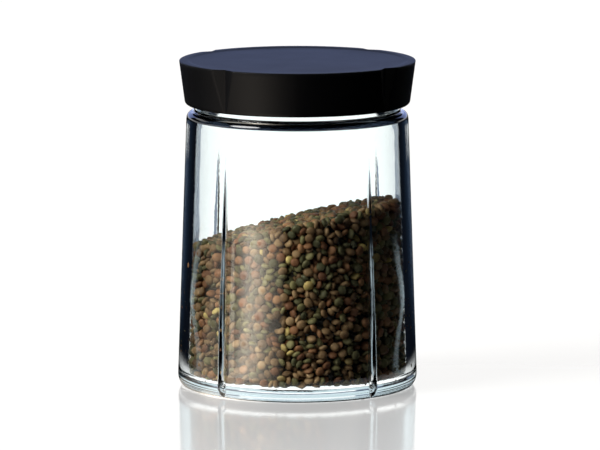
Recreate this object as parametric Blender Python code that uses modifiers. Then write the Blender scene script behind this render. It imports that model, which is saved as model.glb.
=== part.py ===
"""Storage jar: thick clear glass with four narrow upright V grooves, part filled with lentils,
closed by a black two-piece lid whose plug carries a soft seal ring.

Metres, +Z up. The origin is the centre of the jar's footprint and the front is -Y.
"""

import math

import bmesh
import bpy
from mathutils import Matrix, Vector

# Driving sizes of the glass
HEIGHT = 0.1540  # floor to the top of the closed lid
FOOT_RADIUS = 0.0564  # the widest ring, just above the foot
LEAN = 0.0043  # how much narrower the wall is at the shoulder than at the foot
WALL = 0.0048
FLOOR_THICKNESS = 0.0055
HEEL_WIDTH = 0.0033  # the rounded heel between the wall and the ring it stands on
HEEL_HEIGHT = 0.0055
STANDING_RING_WIDTH = 0.0050
PUNT_DEPTH = 0.0012  # the hollow under the foot
PUNT_SLOPE_WIDTH = 0.0020
INNER_ROUND = 0.0025
SHOULDER_LEDGE = 0.0035  # from the top of the wall in to the neck
SHOULDER_ROUND = 0.0028
NECK_HEIGHT = 0.0172
NECK_WALL = 0.0046
NECK_ROUND = 0.0006  # fillet where the neck meets the ledge
RIM_ROUND = 0.0016
THROAT_LENGTH = 0.0024  # the inside step from the wall in to the neck
THROAT_TOP = 0.0010  # where that step ends, above the ledge

# V grooves of the glass and of the lid
GLASS_GROOVES_OFF_FRONT = math.radians(38.75)
GLASS_GROOVES_OFF_BACK = math.radians(51.25)
GLASS_GROOVE_START = 0.0217  # below the shoulder ledge
GLASS_GROOVE_RUN = 0.070  # length over which the groove sinks to its depth
GLASS_GROOVE_EASE = 0.8  # how soon it sinks; 1 would be a straight ramp
GLASS_GROOVE_DEPTH = 0.0026
GLASS_GROOVE_SLOPE = math.radians(43)
GLASS_GROOVE_ROUND = 0.0008
LID_GROOVES_OFF_MIDDLE = math.radians(45)
LID_GROOVE_SLOPE = math.radians(25)
LID_GROOVE_ROUND = 0.0003
LID_GROOVE_DEPTH = 0.0030  # at the top edge; it runs out at the bottom edge
GROOVE_REACH = 0.016  # half the width of the cutting wedge

# Lid: an outer cover, a plug pressed into it, and a seal ring on the plug
LID_HEIGHT = 0.0208
LID_GAP = 0.0035  # glass left showing between the ledge and the lid
SKIRT_CLEARANCE = 0.0008  # between the neck and the lid's skirt
SKIRT_WALL = 0.0034
LID_FLARE = 0.0027  # how much wider the lid is at its top edge
LID_CORNER = 0.0020
LID_TOP_ROUND = 0.0005
LID_DISH = 0.0005
LID_DISH_RIM = 0.0030
COVER_PLATE = 0.0026
COVER_RIB_WIDTH = 0.0025
LID_TURN = math.radians(5.5)  # the closed lid sits turned a little against the jar
PLUG_FLANGE = 0.0022
PLUG_WALL = 0.0018
PLUG_FLOOR = 0.0020
PLUG_LENGTH = 0.0105
PLUG_CLEARANCE = 0.0012  # between the plug and the neck
RING_GROOVE_DEPTH = 0.0024
RING_HEIGHT = 0.0048
RING_ABOVE_END = 0.0030  # plug left below the seal ring
RING_BODY = 0.0017
LIP_THICKNESS = 0.0009
LIP_TO_NECK = 0.0002  # the squeezed lips stop this far from the glass
TURNING_CLEARANCE = 0.00015  # between the plug and the seal ring on it
GAP = 0.0003  # between pieces that touch

# Lentils, a pebbled heap that slopes up to the right and slightly down to the back
FILL_HEIGHT = 0.079  # on the axis
FILL_RISE_RIGHT = 0.233
FILL_RISE_BACK = -0.083
PEBBLE_SPACING = 0.011
PEBBLE_HEIGHT = 0.0036
HEAP_FACE = 0.004  # side of the heap's faces
HEAP_STEPS = 90  # facets of the heap round the axis

STEPS = 64  # facets round the axis
ARC_STEPS = 5

# Heights and radii that follow from the sizes above
LEDGE_Z = HEIGHT - LID_HEIGHT - LID_GAP
RIM_Z = LEDGE_Z + NECK_HEIGHT
TOP_RADIUS = FOOT_RADIUS - LEAN
NECK_RADIUS = TOP_RADIUS - SHOULDER_LEDGE
BORE_RADIUS = NECK_RADIUS - NECK_WALL
STANDING_RADIUS = FOOT_RADIUS - HEEL_WIDTH
GROOVE_TOP_Z = LEDGE_Z - GLASS_GROOVE_START
HEAP_BASE_Z = FLOOR_THICKNESS + INNER_ROUND
LID_BOTTOM_Z = HEIGHT - LID_HEIGHT
SKIRT_BORE = NECK_RADIUS + SKIRT_CLEARANCE
LID_LOW_RADIUS = SKIRT_BORE + SKIRT_WALL
LID_TOP_RADIUS = LID_LOW_RADIUS + LID_FLARE
FLANGE_Z = RIM_Z + GAP
PLUG_RADIUS = BORE_RADIUS - PLUG_CLEARANCE
RING_FLOOR_RADIUS = PLUG_RADIUS - RING_GROOVE_DEPTH
PLUG_END_Z = FLANGE_Z - PLUG_LENGTH
RING_LOW_Z = PLUG_END_Z + RING_ABOVE_END


def wall_radius(z):
    """Outer radius of the leaning wall."""
    return FOOT_RADIUS - LEAN * (z - HEEL_HEIGHT) / (LEDGE_Z - HEEL_HEIGHT)


def inner_radius(z):
    return wall_radius(z) - WALL


def arc(centre, radii, start, end, steps=ARC_STEPS):
    """Points of an arc in the (radius, height) plane, angles in degrees from outward."""
    points = []
    for i in range(steps + 1):
        angle = math.radians(start + (end - start) * i / steps)
        points.append((centre[0] + radii[0] * math.cos(angle), centre[1] + radii[1] * math.sin(angle)))
    return points


def collection(name):
    made = bpy.data.collections.new(name)
    bpy.context.scene.collection.children.link(made)
    return made


def add_object(name, mesh, group):
    obj = bpy.data.objects.new(name, mesh)
    group.objects.link(obj)
    return obj


def turned(name, outline, group, closed=False, steps=STEPS):
    """A turned solid from its outline, which runs out, down the outer side and back in."""
    count = len(outline)
    edges = [(i, i + 1) for i in range(count - 1)]
    if closed:
        edges.append((count - 1, 0))
    mesh = bpy.data.meshes.new(name)
    mesh.from_pydata([(r, 0.0, z) for r, z in outline], edges, [])
    obj = add_object(name, mesh, group)
    screw = obj.modifiers.new("turn", "SCREW")
    screw.axis = "Z"
    screw.angle = 2 * math.pi
    screw.steps = steps
    screw.render_steps = steps
    screw.use_merge_vertices = True
    screw.merge_threshold = 0.00001
    screw.use_smooth_shade = True
    return obj


def cutter(name, mesh, group):
    obj = add_object(name, mesh, group)
    obj.hide_render = True
    obj.display_type = "WIRE"
    return obj


def cut(obj, tool, name):
    modifier = obj.modifiers.new(name, "BOOLEAN")
    modifier.operation = "DIFFERENCE"
    modifier.object = tool


def into_mesh(obj):
    """Turns the modifiers into mesh."""
    graph = bpy.context.evaluated_depsgraph_get()
    mesh = bpy.data.meshes.new_from_object(obj.evaluated_get(graph))
    obj.modifiers.clear()
    obj.data = mesh
    mesh.name = obj.name
    return mesh


def finish(obj, material):
    """Turns the modifiers into mesh, then shades round faces smooth and corners sharp."""
    mesh = into_mesh(obj)
    mesh.materials.clear()
    mesh.materials.append(material)
    mesh.shade_smooth()
    mesh.set_sharp_from_angle(angle=math.radians(30))


def material(name, colour, roughness, transmission=0.0):
    made = bpy.data.materials.new(name)
    made.use_nodes = True
    shader = made.node_tree.nodes["Principled BSDF"]
    shader.inputs["Base Color"].default_value = (*colour, 1.0)
    shader.inputs["Roughness"].default_value = roughness
    shader.inputs["Metallic"].default_value = 0.0
    shader.inputs["Transmission Weight"].default_value = transmission
    return made


def wedge_section(apex, slope, bottom_round):
    """A V pointing at the axis, as (radius, sideways) points, with a rounded bottom."""
    half_open = math.pi / 2 - slope
    centre = apex + bottom_round
    tangent_at = centre - bottom_round * math.cos(slope)
    tangent_side = bottom_round * math.sin(slope)
    outer = tangent_at + (GROOVE_REACH - tangent_side) / math.tan(half_open)
    return [
        (outer, -GROOVE_REACH),
        (tangent_at, -tangent_side),
        (apex, 0.0),
        (tangent_at, tangent_side),
        (outer, GROOVE_REACH),
    ]


def groove_angles(off_front, off_back):
    """Angles of four grooves: two to either side of the front and two to either side of the back."""
    front, back = -math.pi / 2, math.pi / 2
    return [front - off_front, front + off_front, back - off_back, back + off_back]


def grooves_mesh(name, stations, bottom_round, angles):
    """Wedges for all grooves: one loft through (height, apex radius, slope) stations at each angle."""
    made = bmesh.new()
    for angle in angles:
        around = Matrix.Rotation(angle, 4, "Z")
        rings = []
        for z, apex, slope in stations:
            section = wedge_section(apex, slope, bottom_round)
            rings.append([made.verts.new(around @ Vector((r, side, z))) for r, side in section])
        for low, high in zip(rings, rings[1:]):
            for i in range(len(low)):
                j = (i + 1) % len(low)
                made.faces.new((low[i], low[j], high[j], high[i]))
        made.faces.new(rings[0])
        made.faces.new(rings[-1])
    bmesh.ops.recalc_face_normals(made, faces=made.faces)
    mesh = bpy.data.meshes.new(name)
    made.to_mesh(mesh)
    made.free()
    return mesh


def glass_groove_depth(z):
    """Depth under the wall's surface: it sinks on the way down and then stays the same."""
    share = (GROOVE_TOP_Z - z) / GLASS_GROOVE_RUN
    if share < 0:
        return GLASS_GROOVE_DEPTH * share
    return GLASS_GROOVE_DEPTH * min(share, 1.0) ** GLASS_GROOVE_EASE


def glass_groove_stations():
    """From under the foot to a little above the groove, where the wedge is outside the glass."""
    above = 0.1 * GLASS_GROOVE_RUN
    sinking = [GROOVE_TOP_Z + above - i * (GLASS_GROOVE_RUN + above) / 10 for i in range(11)]
    heights = [-HEEL_HEIGHT, *reversed(sinking)]
    return [(z, wall_radius(z) - glass_groove_depth(z), GLASS_GROOVE_SLOPE) for z in heights]


def glass_jar(parts, cutters, look):
    throat_high = LEDGE_Z + THROAT_TOP
    throat_low = throat_high - THROAT_LENGTH
    punt_radius = STANDING_RADIUS - STANDING_RING_WIDTH
    floor_corner = (inner_radius(FLOOR_THICKNESS + INNER_ROUND) - INNER_ROUND, FLOOR_THICKNESS + INNER_ROUND)
    outline = [(0.0, FLOOR_THICKNESS)]
    outline += arc(floor_corner, (INNER_ROUND, INNER_ROUND), -90, 0)
    for i in range(7):
        share = 0.5 - 0.5 * math.cos(math.pi * i / 6)
        z = throat_low + (throat_high - throat_low) * i / 6
        wide = inner_radius(throat_low)
        outline.append((wide + (BORE_RADIUS - wide) * share, z))
    outline += arc((BORE_RADIUS + RIM_ROUND, RIM_Z - RIM_ROUND), (RIM_ROUND, RIM_ROUND), 180, 90, 4)
    outline += arc((NECK_RADIUS - RIM_ROUND, RIM_Z - RIM_ROUND), (RIM_ROUND, RIM_ROUND), 90, 0, 4)
    outline += arc((NECK_RADIUS + NECK_ROUND, LEDGE_Z + NECK_ROUND), (NECK_ROUND, NECK_ROUND), 180, 270, 2)
    outline += arc(
        (TOP_RADIUS - SHOULDER_ROUND, LEDGE_Z - SHOULDER_ROUND), (SHOULDER_ROUND, SHOULDER_ROUND), 90, 0
    )
    outline += arc((STANDING_RADIUS, HEEL_HEIGHT), (HEEL_WIDTH, HEEL_HEIGHT), 0, -90)
    outline += [
        (punt_radius, 0.0),
        (punt_radius - PUNT_SLOPE_WIDTH, PUNT_DEPTH),
        (0.0, PUNT_DEPTH),
    ]
    jar = turned("glass_jar", outline, parts)
    angles = groove_angles(GLASS_GROOVES_OFF_FRONT, GLASS_GROOVES_OFF_BACK)
    wedges = grooves_mesh("glass_groove_wedges", glass_groove_stations(), GLASS_GROOVE_ROUND, angles)
    cut(jar, cutter("glass_groove_wedges", wedges, cutters), "grooves")
    finish(jar, look)
    return jar


def heap_outline():
    """Half a section of the heap before it is sloped: top, wall, corner and bottom."""
    corner = INNER_ROUND - GAP
    low = FLOOR_THICKNESS + GAP
    wide = inner_radius(HEAP_BASE_Z) - GAP
    rings = round(wide / HEAP_FACE)
    rows = round((FILL_HEIGHT - HEAP_BASE_Z) / HEAP_FACE)
    outline = [(wide * i / rings, FILL_HEIGHT) for i in range(rings)]
    outline += [(wide, FILL_HEIGHT - (FILL_HEIGHT - HEAP_BASE_Z) * i / rows) for i in range(rows)]
    outline += arc((wide - corner, low + corner), (corner, corner), 0, -90, 4)
    outline.append((0.0, low))
    return outline


def fit_to_jar(mesh):
    """Shears the heap's top to its slope and leans its side with the inside of the glass."""
    for vertex in mesh.vertices:
        x, y, z = vertex.co
        share = max(0.0, (z - HEAP_BASE_Z) / (FILL_HEIGHT - HEAP_BASE_Z))
        sheared = z + share * (FILL_RISE_RIGHT * x + FILL_RISE_BACK * y)
        narrower = (inner_radius(max(sheared, HEAP_BASE_Z)) - GAP) / (inner_radius(HEAP_BASE_Z) - GAP)
        vertex.co = (x * narrower, y * narrower, sheared)


def pebble(heap):
    """Dents the heap inwards between rounded lumps, and leaves its foot plain."""
    loose = heap.vertex_groups.new(name="above_foot")
    for vertex in heap.data.vertices:
        weight = (vertex.co.z - HEAP_BASE_Z) / PEBBLE_SPACING
        loose.add([vertex.index], min(max(weight, 0.0), 1.0), "REPLACE")
    cells = bpy.data.textures.new("pebbles", "VORONOI")
    cells.noise_scale = PEBBLE_SPACING
    dents = heap.modifiers.new("pebbles", "DISPLACE")
    dents.texture = cells
    dents.texture_coords = "LOCAL"
    dents.mid_level = 0.0
    dents.strength = -PEBBLE_HEIGHT
    dents.vertex_group = loose.name


def lentil_fill(parts, look):
    """The heap as one solid, shaped by the inside of the jar."""
    heap = turned("lentil_fill", heap_outline(), parts, steps=HEAP_STEPS)
    fit_to_jar(into_mesh(heap))
    pebble(heap)
    finish(heap, look)
    return heap


def lid_cover(parts, cutters, look):
    plate_low = HEIGHT - COVER_PLATE
    rib_out = SKIRT_BORE - GAP
    rib_low = FLANGE_Z + PLUG_FLANGE + GAP
    lean = LID_FLARE / LID_HEIGHT
    outline = [
        (0.0, HEIGHT - LID_DISH),
        (LID_TOP_RADIUS - 2 * LID_DISH_RIM, HEIGHT - LID_DISH),
        (LID_TOP_RADIUS - LID_DISH_RIM, HEIGHT),
    ]
    outline += arc(
        (LID_TOP_RADIUS - LID_TOP_ROUND, HEIGHT - LID_TOP_ROUND), (LID_TOP_ROUND, LID_TOP_ROUND), 90, 0, 3
    )
    corner_radius = LID_LOW_RADIUS + lean * LID_CORNER - LID_CORNER
    outline += arc((corner_radius, LID_BOTTOM_Z + LID_CORNER), (LID_CORNER, LID_CORNER), 0, -90)
    outline += [
        (SKIRT_BORE, LID_BOTTOM_Z),
        (SKIRT_BORE, rib_low),
        (rib_out - COVER_RIB_WIDTH, rib_low),
        (rib_out - COVER_RIB_WIDTH, plate_low),
        (0.0, plate_low),
    ]
    cover = turned("lid_cover", outline, parts)
    apex = LID_TOP_RADIUS - LID_GROOVE_DEPTH
    stations = [(z, apex, LID_GROOVE_SLOPE) for z in (LID_BOTTOM_Z - LID_GAP, HEIGHT + LID_GAP)]
    angles = [LID_TURN + angle for angle in groove_angles(LID_GROOVES_OFF_MIDDLE, LID_GROOVES_OFF_MIDDLE)]
    wedges = grooves_mesh("lid_groove_wedges", stations, LID_GROOVE_ROUND, angles)
    cut(cover, cutter("lid_groove_wedges", wedges, cutters), "grooves")
    finish(cover, look)
    return cover


def lid_plug(parts, look):
    """A cup open at the top, with a flange on the rim and a groove for the seal ring."""
    ring_high = RING_LOW_Z + RING_HEIGHT + 2 * TURNING_CLEARANCE
    inside = RING_FLOOR_RADIUS - PLUG_WALL
    outline = [
        (inside, FLANGE_Z + PLUG_FLANGE),
        (SKIRT_BORE - GAP, FLANGE_Z + PLUG_FLANGE),
        (SKIRT_BORE - GAP, FLANGE_Z),
        (PLUG_RADIUS, FLANGE_Z),
        (PLUG_RADIUS, ring_high),
        (RING_FLOOR_RADIUS, ring_high),
        (RING_FLOOR_RADIUS, RING_LOW_Z),
        (PLUG_RADIUS, RING_LOW_Z),
        (PLUG_RADIUS, PLUG_END_Z + NECK_ROUND),
        (PLUG_RADIUS - NECK_ROUND, PLUG_END_Z),
        (0.0, PLUG_END_Z),
    ]
    outline = [(0.0, PLUG_END_Z + PLUG_FLOOR), (inside, PLUG_END_Z + PLUG_FLOOR), *outline]
    plug = turned("lid_plug", outline, parts)
    finish(plug, look)
    return plug


def seal_ring(parts, look):
    """A soft ring with two lips that bend up against the neck."""
    low = RING_LOW_Z + TURNING_CLEARANCE
    high = low + RING_HEIGHT
    inner = RING_FLOOR_RADIUS + TURNING_CLEARANCE
    body = inner + RING_BODY
    tip = BORE_RADIUS - LIP_TO_NECK
    rise = 0.5 * LIP_THICKNESS
    middle = (low + high) / 2
    outline = [
        (inner, high),
        (body, high),
        (tip, high - rise),
        (tip, high - rise - 0.5 * LIP_THICKNESS),
        (body, high - rise - LIP_THICKNESS),
        (body, middle),
        (tip, middle - rise),
        (tip, middle - rise - 0.5 * LIP_THICKNESS),
        (body, middle - rise - LIP_THICKNESS),
        (body, low),
        (inner, low),
    ]
    ring = turned("seal_ring", outline, parts, closed=True)
    finish(ring, look)
    return ring


def main():
    for obj in list(bpy.data.objects):
        bpy.data.objects.remove(obj, do_unlink=True)
    parts = collection("storage_jar")
    cutters = collection("cutters")
    glass = material("clear_glass", (0.93, 0.97, 0.96), 0.0, transmission=1.0)
    lentils = material("dry_lentils", (0.12, 0.085, 0.045), 0.6)
    black = material("black_plastic", (0.012, 0.012, 0.014), 0.38)
    plug_black = material("plug_plastic", (0.016, 0.016, 0.018), 0.5)
    silicone = material("soft_silicone", (0.55, 0.56, 0.56), 0.45)
    glass_jar(parts, cutters, glass)
    lentil_fill(parts, lentils)
    lid_cover(parts, cutters, black)
    lid_plug(parts, plug_black)
    seal_ring(parts, silicone)


main()
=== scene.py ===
import math

import bpy
import numpy as np
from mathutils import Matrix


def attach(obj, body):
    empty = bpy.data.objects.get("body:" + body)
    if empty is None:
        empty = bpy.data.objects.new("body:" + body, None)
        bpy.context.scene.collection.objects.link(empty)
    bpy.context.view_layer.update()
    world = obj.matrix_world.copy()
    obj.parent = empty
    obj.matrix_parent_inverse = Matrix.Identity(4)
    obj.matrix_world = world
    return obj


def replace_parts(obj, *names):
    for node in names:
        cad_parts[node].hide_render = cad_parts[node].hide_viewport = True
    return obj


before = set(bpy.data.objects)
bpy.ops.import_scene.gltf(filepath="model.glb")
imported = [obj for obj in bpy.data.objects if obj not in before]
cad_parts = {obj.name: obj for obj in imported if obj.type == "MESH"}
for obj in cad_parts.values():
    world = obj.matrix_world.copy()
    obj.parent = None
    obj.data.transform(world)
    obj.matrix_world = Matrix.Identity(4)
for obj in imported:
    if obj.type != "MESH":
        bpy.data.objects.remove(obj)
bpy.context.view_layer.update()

# A clear glass storage jar with four upright grooves, more than half full of dry lentils, under a black lid

# Heights and radii of the glass, in metres
HEIGHT = 0.1540
FOOT_RADIUS = 0.0564
LEAN = 0.0043
WALL = 0.0048
GLASS_FLOOR = 0.0055
HEEL_WIDTH = 0.0033
HEEL_HEIGHT = 0.0055
STANDING_RING = 0.0050
PUNT_DEPTH = 0.0012
PUNT_SLOPE = 0.0020
INNER_ROUND = 0.0025
LEDGE_Z = 0.1297
LEDGE_WIDTH = 0.0035
SHOULDER_ROUND = 0.0028
NECK_WALL = 0.0046
NECK_ROUND = 0.0006
RIM_Z = 0.1469
RIM_ROUND = 0.0016
THROAT = 0.0024
THROAT_TOP = 0.0010
TOP_RADIUS = FOOT_RADIUS - LEAN
NECK_RADIUS = TOP_RADIUS - LEDGE_WIDTH
BORE_RADIUS = NECK_RADIUS - NECK_WALL
STANDING_RADIUS = FOOT_RADIUS - HEEL_WIDTH

# The four grooves in the glass
GROOVE_TOP_Z = 0.1080
GROOVE_RUN = 0.070
GROOVE_EASE = 0.8
GROOVE_DEPTH = 0.0021
GROOVE_SLOPE = math.radians(43)
GROOVE_BOTTOM_ROUND = 0.0006
GROOVES_FORWARD = 6.25
GROOVE_LIP = 0.00030
DROP_Z = 0.0048
DROP_HEIGHT = 0.0018
DROP_RADIUS = 0.0010
FINE_RINGS = (0.0062, 0.0120)
RING_STEP_AT_FOOT = 0.0007
RING_STEP_ON_WALL = 0.0019

# The lid and what is under it
LID_BOTTOM_Z = 0.1332
SKIRT_BORE = 0.0494
LID_LOW_RADIUS = 0.0528
LID_TOP_RADIUS = 0.0555
LID_CORNER = 0.0020
LID_EDGE_ROUND = 0.0005
LID_DISH = 0.0005
LID_DISH_RIM = 0.0030
LID_PLATE = 0.0026
LID_RIB = 0.0025
LID_TURN = 5.5
LID_GROOVE_DEPTH = 0.0030
LID_GROOVE_SLOPE = math.radians(25)
LID_GROOVE_ROUND = 0.0003
FLANGE_Z = 0.1472
FLANGE = 0.0022
GAP = 0.0003
CORNER = 0.0001

# The heap of lentils
LENTIL_RADIUS = 0.00232
LENTIL_THICK = 0.0023
LENTIL_NEAR = 2.3 * LENTIL_RADIUS
HEAP_Z = 0.0790
HEAP_RISE_RIGHT = 0.233
HEAP_RISE_BACK = -0.083
HEAP_SKIN = 0.0056
ROOM_PER_LENTIL = 3.65e-8
LOWEST_THROW = 0.001
SETTLING_ROUNDS = 70
ROUNDS_PER_LIST = 6
PUSH_APART = 0.35
PUSH_INSIDE = 0.8
DRIFT_OUT = 2e-5
SINK = 5e-5
SINK_HEIGHT = 0.008
LONGEST_STEP = 0.0006
LARGEST_TURN = 0.3
AXIS_LEAN = 0.5
SIZE_SPREAD = 0.05
SIZE_LIMITS = (0.86, 1.1)
LENS_PROFILE = [(0.45, 0.93), (0.80, 0.62), (1.0, 0.0), (0.80, -0.62), (0.45, -0.93)]
LENS_SEGMENTS = 10
CORE_INSET = 0.8 * HEAP_SKIN
CORE_LIFT = 0.0008
CORE_COLUMNS = 96
CORE_ROWS = 24
CORE_MIDDLE_Z = 0.040
BALLS = 7
BALL_ARM = 0.66 * LENTIL_RADIUS
BALL_RADII = np.array([LENTIL_THICK / 2] + [0.34 * LENTIL_RADIUS] * (BALLS - 1))

# Share of each kind of lentil, and its coat: dark, middle and light tone, and how mottled it is
LENTIL_SHARES = {"brown": 0.42, "green": 0.36, "russet": 0.19, "golden": 0.03}
LENTIL_COATS = {
    "brown": ((0.085, 0.046, 0.022), (0.20, 0.112, 0.050), (0.34, 0.205, 0.100), 0.9),
    "green": ((0.050, 0.045, 0.022), (0.115, 0.096, 0.040), (0.21, 0.170, 0.070), 0.9),
    "russet": ((0.100, 0.040, 0.020), (0.21, 0.088, 0.038), (0.32, 0.155, 0.070), 0.8),
    "golden": ((0.22, 0.15, 0.06), (0.42, 0.29, 0.10), (0.62, 0.45, 0.16), 0.4),
}
# The core's coat is painted shade: far darker than any lentil, for the shaded depths seen between the outer
# lentils
CORE_SHADE_COAT = ((0.012, 0.009, 0.006), (0.020, 0.014, 0.009), (0.03, 0.02, 0.012), 0.9)


def add_piece(name, points, faces, material, body):
    """A smooth mesh piece that rides on a body of the jar."""
    mesh = bpy.data.meshes.new(name)
    mesh.from_pydata(points, [], faces)
    mesh.materials.append(material)
    mesh.shade_smooth()
    piece = bpy.data.objects.new(name, mesh)
    bpy.context.scene.collection.objects.link(piece)
    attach(piece, body)
    return piece


def arc(centre, radii, start, end, steps):
    """Points on an arc in the (radius, height) plane, angles in degrees from outward."""
    turns = np.radians(np.linspace(start, end, steps + 1))
    return [(centre[0] + radii[0] * math.cos(t), centre[1] + radii[1] * math.sin(t)) for t in turns]


def line(start, end, steps):
    """Points after start, up to and with end."""
    shares = np.arange(1, steps + 1) / steps
    return [(start[0] + (end[0] - start[0]) * s, start[1] + (end[1] - start[1]) * s) for s in shares]


def round_columns(turn):
    """Angles round the axis in radians, close together at the four grooves."""
    at_groove = [np.arange(0, 1.2, 0.15), np.arange(1.2, 5.2, 0.25), np.arange(5.2, 13.0, 0.8)]
    half = np.concatenate([*at_groove, np.linspace(13.0, 45.0, 24)])
    quarter = np.concatenate([-half[::-1], half[1:-1]])
    return np.radians(np.concatenate([quarter + 45 + turn + 90 * k for k in range(4)]))


def even_columns(count):
    """Angles round the axis in radians, all equally far apart."""
    return np.arange(count) * 2 * math.pi / count


def off_groove(angles, turn):
    """Angle of each column from the nearest groove."""
    return (angles - math.radians(turn) + math.pi) % (math.pi / 2) - math.pi / 4


def ring_faces(low, count):
    """Faces between the ring of points that starts at low and the next ring."""
    return [
        (low + i, low + (i + 1) % count, low + count + (i + 1) % count, low + count + i)
        for i in range(count)
    ]


def turned_points(outline, angles, cut):
    """Rings of points for an outline that starts and ends on the axis, and the faces between them.

    cut gives the radii of a ring, so that it can hold grooves.
    """
    points = [(0.0, 0.0, outline[0][1])]
    for radius, z in outline[1:-1]:
        radii = cut(radius, z, angles)
        points += zip(radii * np.cos(angles), radii * np.sin(angles), np.full(len(angles), z))
    points.append((0.0, 0.0, outline[-1][1]))
    count, rings = len(angles), len(outline) - 2
    faces = [(0, 1 + (i + 1) % count, 1 + i) for i in range(count)]
    for ring in range(rings - 1):
        faces += ring_faces(1 + ring * count, count)
    last = 1 + (rings - 1) * count
    end = len(points) - 1
    faces += [(last + i, last + (i + 1) % count, end) for i in range(count)]
    return points, faces


def softer_least(a, b, soft):
    """The smaller of two radii, with the corner between them rounded."""
    share = np.clip(0.5 + 0.5 * (b - a) / soft, 0, 1)
    return b * (1 - share) + a * share - soft * share * (1 - share)


def wall_radius(z):
    """Radius of the leaning outer wall at a height, without its grooves."""
    return FOOT_RADIUS - LEAN * (z - HEEL_HEIGHT) / (LEDGE_Z - HEEL_HEIGHT)


def inner_radius(z):
    return wall_radius(z) - WALL


def groove_depth(z):
    """Depth of the glass grooves at a height: it grows downwards and then stays the same."""
    share = (GROOVE_TOP_Z - z) / GROOVE_RUN
    if share < 0:
        return GROOVE_DEPTH * share
    return GROOVE_DEPTH * min(share, 1.0) ** GROOVE_EASE


def v_groove(apex, away, slope, bottom_round):
    """Radius of a V groove's flanks at each angle away from its bottom."""
    across = apex * np.sin(away)
    blunt = bottom_round * math.tan(slope)
    return (apex + math.tan(slope) * (np.hypot(across, blunt) - blunt)) / np.cos(away)


def grooved_glass(radius, z, angles):
    """Outside of the glass: the wall with its grooves, and the round drop at each groove's foot."""
    away = off_groove(angles, 0)
    apex = wall_radius(z) - groove_depth(z)
    flank = v_groove(apex, away, GROOVE_SLOPE, GROOVE_BOTTOM_ROUND)
    drop = DROP_HEIGHT * np.exp(-((apex * away) ** 2 + (z - DROP_Z) ** 2) / DROP_RADIUS ** 2)
    return softer_least(np.full(len(angles), radius), flank + drop, GROOVE_LIP)


def grooved_lid(radius, z, angles):
    away = off_groove(angles, LID_TURN)
    flank = v_groove(LID_TOP_RADIUS - LID_GROOVE_DEPTH, away, LID_GROOVE_SLOPE, LID_GROOVE_ROUND)
    return np.minimum(np.full(len(angles), radius), flank)


def glass_outside():
    """From under the foot, up the wall, over the shoulder and up the neck."""
    punt = STANDING_RADIUS - STANDING_RING
    shoulder = (TOP_RADIUS - SHOULDER_ROUND, LEDGE_Z - SHOULDER_ROUND)
    neck_foot = (NECK_RADIUS + NECK_ROUND, LEDGE_Z + NECK_ROUND)
    rim = (NECK_RADIUS - RIM_ROUND, RIM_Z - RIM_ROUND)
    at_foot = np.arange(*FINE_RINGS, RING_STEP_AT_FOOT)
    on_wall = np.arange(FINE_RINGS[1], LEDGE_Z - SHOULDER_ROUND, RING_STEP_ON_WALL)
    outline = [(0.0, PUNT_DEPTH)]
    outline += line((0.0, PUNT_DEPTH), (punt - PUNT_SLOPE, PUNT_DEPTH), 6)
    outline += line(outline[-1], (punt, 0.0), 4)
    outline += line(outline[-1], (STANDING_RADIUS, 0.0), 5)[:-1]
    outline += arc((STANDING_RADIUS, HEEL_HEIGHT), (HEEL_WIDTH, HEEL_HEIGHT), -90, 0, 14)
    outline += [(wall_radius(z), z) for z in np.concatenate([at_foot, on_wall])]
    outline += arc(shoulder, (SHOULDER_ROUND, SHOULDER_ROUND), 0, 90, 10)
    outline += arc(neck_foot, (NECK_ROUND, NECK_ROUND), 270, 180, 5)
    outline += line(outline[-1], (NECK_RADIUS, RIM_Z - RIM_ROUND), 6)[:-1]
    outline += arc(rim, (RIM_ROUND, RIM_ROUND), 0, 90, 6)
    return outline


def glass_inside():
    """Down the bore, out through the throat, down the wall and in over the floor."""
    outline = arc((BORE_RADIUS + RIM_ROUND, RIM_Z - RIM_ROUND), (RIM_ROUND, RIM_ROUND), 90, 180, 6)
    low, high = LEDGE_Z + THROAT_TOP - THROAT, LEDGE_Z + THROAT_TOP
    outline += line(outline[-1], (BORE_RADIUS, high), 6)[:-1]
    wide = inner_radius(low)
    for share in np.linspace(0, 1, 15):
        inward = 0.5 + 0.5 * math.cos(math.pi * share)
        outline.append((wide + (BORE_RADIUS - wide) * inward, high + (low - high) * share))
    corner = (inner_radius(GLASS_FLOOR + INNER_ROUND) - INNER_ROUND, GLASS_FLOOR + INNER_ROUND)
    outline += line(outline[-1], (corner[0] + INNER_ROUND, corner[1]), 40)[:-1]
    outline += arc(corner, (INNER_ROUND, INNER_ROUND), 0, -90, 12)
    outline += line(outline[-1], (0.0, GLASS_FLOOR), 8)
    return outline


def glass_jar(material):
    outside, inside = glass_outside(), glass_inside()
    columns = round_columns(0)
    # The grooves are cut a quarter turn apart, and then their columns are moved towards the jar's front
    moved = columns - math.radians(GROOVES_FORWARD) * math.sqrt(2) * np.cos(columns)
    reach = STANDING_RADIUS - 0.002
    grooved = {(round(r, 7), round(z, 7)) for r, z in outside if z < LEDGE_Z and r > reach}

    def cut(radius, z, angles):
        if (round(radius, 7), round(z, 7)) in grooved:
            return grooved_glass(radius, z, columns)
        return np.full(len(angles), radius)

    points, faces = turned_points(outside + inside[1:], moved, cut)
    jar = add_piece("jar_glass", points, faces, material, "jar")
    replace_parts(jar, "glass_jar")


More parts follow.
